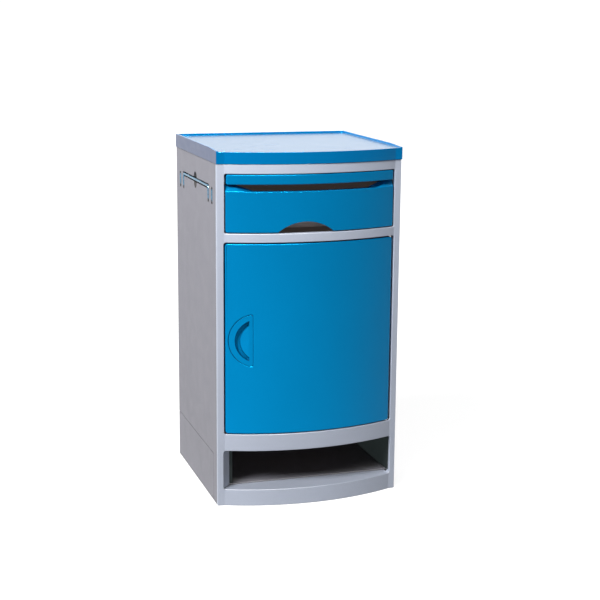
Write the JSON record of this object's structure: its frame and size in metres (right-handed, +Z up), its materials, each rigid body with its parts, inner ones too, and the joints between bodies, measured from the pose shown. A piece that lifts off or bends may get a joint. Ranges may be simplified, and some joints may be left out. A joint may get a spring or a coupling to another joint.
{
  "type": "bedside cabinet",
  "caption": "Moulded plastic hospital bedside cabinet with a bowed front, rimmed top, pull-out board, drawer, door, open shoe bay and folding towel rails",
  "frame": {"origin": "centre of the footprint, on the floor", "axes": "+Z up, -Y out of the bowed front, +X to the right as seen from the front"},
  "size_m": [0.406, 0.41, 0.76],
  "materials": {
    "blue_plastic": "glossy bright blue moulded plastic",
    "pale_plastic": "satin pale lavender-white moulded plastic",
    "grey_plastic": "fine-textured pale grey moulded plastic",
    "inner_plastic": "matt dark brown-grey plastic inside the cabinet",
    "polished_rod": "bent steel rod with a blue-grey sheen",
    "bright_steel": "plain zinc-bright steel"
  },
  "bodies": {
    "carcass": {"top_shell": "blue_plastic", "front_frame": "pale_plastic", "bay_floor": "grey_plastic", "side_panel_left": "grey_plastic", "side_panel_right": "grey_plastic", "base_moulding": "grey_plastic", "back_panel": "grey_plastic", "bay_wall_left": "inner_plastic", "bay_wall_right": "inner_plastic", "cupboard_floor": "inner_plastic", "drawer_deck": "inner_plastic", "cupboard_shelf": "inner_plastic", "shelf_ledge_left": "inner_plastic", "shelf_ledge_right": "inner_plastic", "drawer_runner_left": "inner_plastic", "drawer_runner_right": "inner_plastic", "board_runner_left": "inner_plastic", "board_runner_right": "inner_plastic", "rail_clip_front_left": "inner_plastic", "rail_clip_front_right": "inner_plastic", "rail_clip_back_left": "inner_plastic", "rail_clip_back_right": "inner_plastic", "door_catch": "inner_plastic", "hinge_pin_bottom": "bright_steel", "hinge_pin_top": "bright_steel", "back_screw_left_1": "bright_steel", "back_screw_left_2": "bright_steel", "back_screw_left_3": "bright_steel", "back_screw_right_1": "bright_steel", "back_screw_right_2": "bright_steel", "back_screw_right_3": "bright_steel"},
    "board": {"board": "grey_plastic", "board_front": "blue_plastic"},
    "drawer": {"drawer_front": "blue_plastic", "drawer_tub": "inner_plastic"},
    "door": {"door_skin": "blue_plastic", "door_liner": "inner_plastic", "door_pull": "blue_plastic", "catch_strike": "bright_steel"},
    "rail_left": {"towel_rail_left": "polished_rod"},
    "rail_right": {"towel_rail_right": "polished_rod"}
  },
  "joints": [
    {"name": "board_slide", "type": "slide", "parent": "carcass", "child": "board", "axis": [0, -1, 0], "range_m": [0, 0.28]},
    {"name": "drawer_slide", "type": "slide", "parent": "carcass", "child": "drawer", "axis": [0, -1, 0], "range_m": [0, 0.27]},
    {"name": "door_hinge", "type": "hinge", "parent": "carcass", "child": "door", "pos_m": [0.1785, -0.16477, 0.3635], "axis": [0, 0, 1], "range_deg": [0, 90]},
    {"name": "rail_left_fold", "type": "hinge", "parent": "carcass", "child": "rail_left", "pos_m": [-0.1973, 0.0205, 0.6495], "axis": [0, -1, 0], "range_deg": [0, 90]},
    {"name": "rail_right_fold", "type": "hinge", "parent": "carcass", "child": "rail_right", "pos_m": [0.1973, 0.0205, 0.6495], "axis": [0, 1, 0], "range_deg": [0, 90]}
  ]
}
